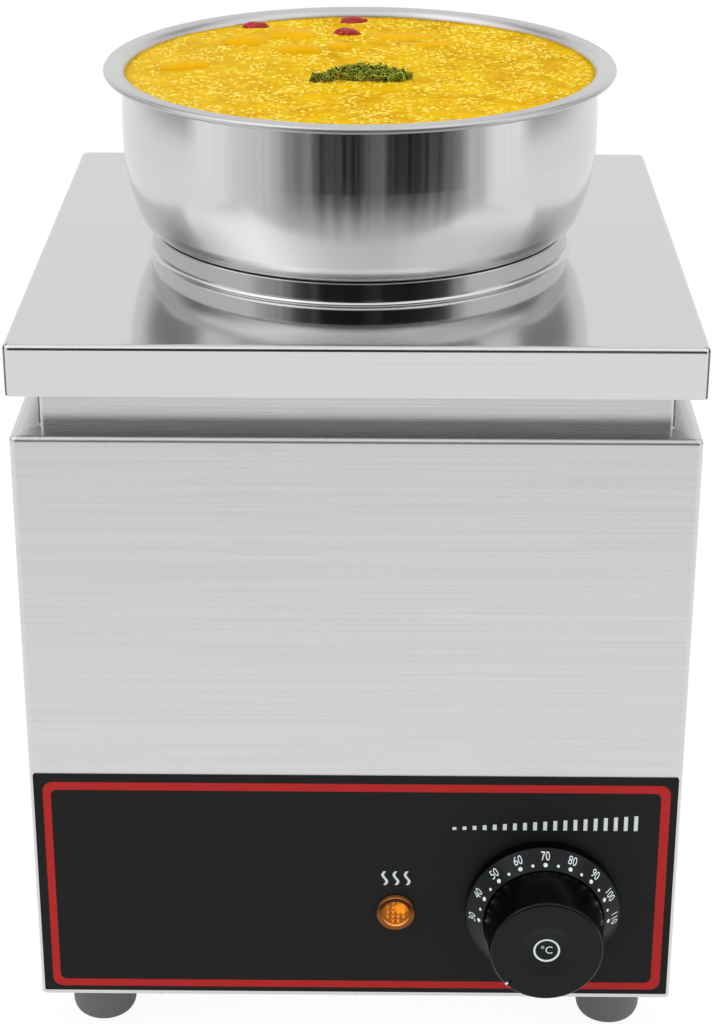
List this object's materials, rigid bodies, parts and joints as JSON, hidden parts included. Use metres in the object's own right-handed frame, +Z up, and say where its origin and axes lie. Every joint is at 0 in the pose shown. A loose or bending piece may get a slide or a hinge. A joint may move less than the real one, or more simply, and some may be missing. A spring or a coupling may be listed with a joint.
{
  "type": "sauce warmer",
  "caption": "Countertop sauce warmer: a lift-out steel pot hangs on a collar in a heated water well, in a stepped steel housing with a thermostat knob and a lamp.",
  "frame": {"origin": "on the table under the pot axis, at the middle of the base", "axes": "+Z up, front with the control panel towards -Y, +X to the right seen from the front"},
  "size_m": [0.2524, 0.3151, 0.3695],
  "materials": {
    "brushed_sheet": "brushed",
    "polished_steel": "polished",
    "drawn_steel": "satin",
    "zinc_steel": "zinc plated",
    "foot_rubber": "matt",
    "seal_rubber": "matt",
    "panel_film": "satin",
    "control_plastic": "satin",
    "amber_plastic": "clear, gloss",
    "black_nylon": "moulded",
    "element_sheath": "drawn, heat tinted",
    "copper": "drawn",
    "brass": "turned",
    "white_moulding": "moulded"
  },
  "bodies": {
    "housing": {"base_plate": "brushed_sheet", "base_screws": "zinc_steel", "block_screws": "zinc_steel", "body_shell": "brushed_sheet", "bulb_clip": "zinc_steel", "cable_gland": "black_nylon", "capillary": "copper", "clamp_nut": "zinc_steel", "clamp_stud": "zinc_steel", "control_panel": "panel_film", "cover_nuts": "zinc_steel", "cover_studs": "zinc_steel", "cutout_nuts": "zinc_steel", "cutout_studs": "zinc_steel", "dial_ring": "control_plastic", "earth_nut": "brass", "earth_stud": "brass", "element_strap": "zinc_steel", "foot_front_left": "foot_rubber", "foot_front_right": "foot_rubber", "foot_nuts": "zinc_steel", "foot_rear_left": "foot_rubber", "foot_rear_right": "foot_rubber", "foot_screws": "zinc_steel", "foot_washers": "zinc_steel", "gland_nut": "black_nylon", "heating_element": "element_sheath", "lamp_holder": "black_nylon", "lamp_lens": "amber_plastic", "lamp_nut": "black_nylon", "pot_collar": "polished_steel", "rear_cover": "brushed_sheet", "rear_screws": "zinc_steel", "sensor_bulb": "copper", "terminal_block": "white_moulding", "thermal_cutout": "zinc_steel", "thermostat_body": "black_nylon", "thermostat_bracket": "zinc_steel", "thermostat_screws": "zinc_steel", "top_cover": "brushed_sheet", "water_well": "drawn_steel", "well_seal": "seal_rubber"},
    "knob": {"knob": "control_plastic", "thermostat_shaft": "zinc_steel"},
    "pot": {"pot": "polished_steel"}
  },
  "joints": [
    {"name": "knob_turn", "type": "hinge", "parent": "housing", "child": "knob", "pos_m": [0.0735, -0.1276, 0.064], "axis": [0, 1, 0], "range_deg": [0, 224]},
    {"name": "pot_lift", "type": "slide", "parent": "housing", "child": "pot", "axis": [0, 0, 1], "range_m": [0, 0.2]}
  ]
}
